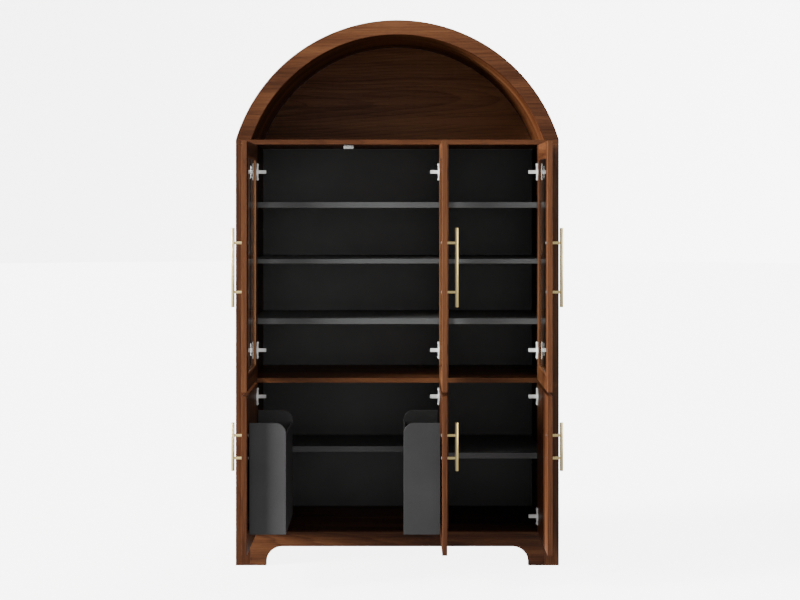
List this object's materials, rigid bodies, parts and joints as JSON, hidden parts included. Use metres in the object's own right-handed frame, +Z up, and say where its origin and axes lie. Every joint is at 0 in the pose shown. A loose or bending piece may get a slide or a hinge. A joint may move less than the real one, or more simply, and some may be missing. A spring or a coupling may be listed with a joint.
{
  "type": "china cabinet",
  "caption": "Tall arched walnut china cabinet with glazed upper doors, solid lower doors, grey inner shelves, bar handles and door bins.",
  "frame": {"origin": "on the floor, at the middle of the box that holds the cabinet with its doors standing open", "axes": "+Z up, -Y out of the front, +X to the right of a person facing the front"},
  "size_m": [1.067, 0.7206, 1.8],
  "materials": {
    "walnut": "satin walnut veneer with a running grain",
    "charcoal": "matt charcoal laminate on board",
    "pane": "clear sheet glass",
    "gold": "brushed pale gold plating",
    "nickel": "bright nickel plating",
    "white_plastic": "moulded white plastic"
  },
  "bodies": {
    "cabinet": {"left_side": "walnut", "right_side": "walnut", "top_panel": "walnut", "arch_frame": "walnut", "arch_back": "walnut", "middle_panel": "walnut", "partition": "walnut", "bottom_panel": "walnut", "front_apron": "walnut", "back_panel": "charcoal", "upper_left_shelf_top": "charcoal", "upper_right_shelf_top": "charcoal", "upper_left_shelf_middle": "charcoal", "upper_right_shelf_middle": "charcoal", "upper_left_shelf_bottom": "charcoal", "upper_right_shelf_bottom": "charcoal", "lower_left_shelf": "charcoal", "lower_right_shelf": "charcoal", "magnetic_catch": "white_plastic", "upper_left_top_hinge_plate": "nickel", "upper_left_low_hinge_plate": "nickel", "upper_middle_top_hinge_plate": "nickel", "upper_middle_low_hinge_plate": "nickel", "upper_right_top_hinge_plate": "nickel", "upper_right_low_hinge_plate": "nickel", "lower_left_top_hinge_plate": "nickel", "lower_left_low_hinge_plate": "nickel", "lower_middle_top_hinge_plate": "nickel", "lower_middle_low_hinge_plate": "nickel", "lower_right_top_hinge_plate": "nickel", "lower_right_low_hinge_plate": "nickel"},
    "upper_left_leaf": {"upper_left_handle": "gold", "upper_left_top_hinge_cup": "nickel", "upper_left_low_hinge_cup": "nickel", "upper_left_door_frame": "walnut", "upper_left_door_glass": "pane"},
    "upper_middle_leaf": {"upper_middle_handle": "gold", "upper_middle_top_hinge_cup": "nickel", "upper_middle_low_hinge_cup": "nickel", "upper_middle_door_frame": "walnut", "upper_middle_door_glass": "pane"},
    "upper_right_leaf": {"upper_right_handle": "gold", "upper_right_top_hinge_cup": "nickel", "upper_right_low_hinge_cup": "nickel", "upper_right_door_frame": "walnut", "upper_right_door_glass": "pane"},
    "lower_left_leaf": {"lower_left_handle": "gold", "lower_left_top_hinge_cup": "nickel", "lower_left_low_hinge_cup": "nickel", "lower_left_door": "walnut", "lower_left_bin": "charcoal"},
    "lower_middle_leaf": {"lower_middle_handle": "gold", "lower_middle_top_hinge_cup": "nickel", "lower_middle_low_hinge_cup": "nickel", "lower_middle_door": "walnut", "lower_middle_bin": "charcoal"},
    "lower_right_leaf": {"lower_right_handle": "gold", "lower_right_top_hinge_cup": "nickel", "lower_right_low_hinge_cup": "nickel", "lower_right_door": "walnut"}
  },
  "joints": [
    {"name": "upper_left_hinge", "type": "hinge", "parent": "cabinet", "child": "upper_left_leaf", "pos_m": [-0.4801, -0.0427, 0.615], "axis": [0, 0, 1], "range_deg": [-5, 90]},
    {"name": "upper_middle_hinge", "type": "hinge", "parent": "cabinet", "child": "upper_middle_leaf", "pos_m": [0.1571, -0.0427, 0.615], "axis": [0, 0, 1], "range_deg": [-90, 5]},
    {"name": "upper_right_hinge", "type": "hinge", "parent": "cabinet", "child": "upper_right_leaf", "pos_m": [0.4801, -0.0427, 0.615], "axis": [0, 0, 1], "range_deg": [-90, 5]},
    {"name": "lower_left_hinge", "type": "hinge", "parent": "cabinet", "child": "lower_left_leaf", "pos_m": [-0.4801, -0.0427, 0.112], "axis": [0, 0, 1], "range_deg": [-5, 90]},
    {"name": "lower_middle_hinge", "type": "hinge", "parent": "cabinet", "child": "lower_middle_leaf", "pos_m": [0.1571, -0.0427, 0.112], "axis": [0, 0, 1], "range_deg": [-90, 5]},
    {"name": "lower_right_hinge", "type": "hinge", "parent": "cabinet", "child": "lower_right_leaf", "pos_m": [0.4801, -0.0427, 0.112], "axis": [0, 0, 1], "range_deg": [-90, 5]}
  ]
}
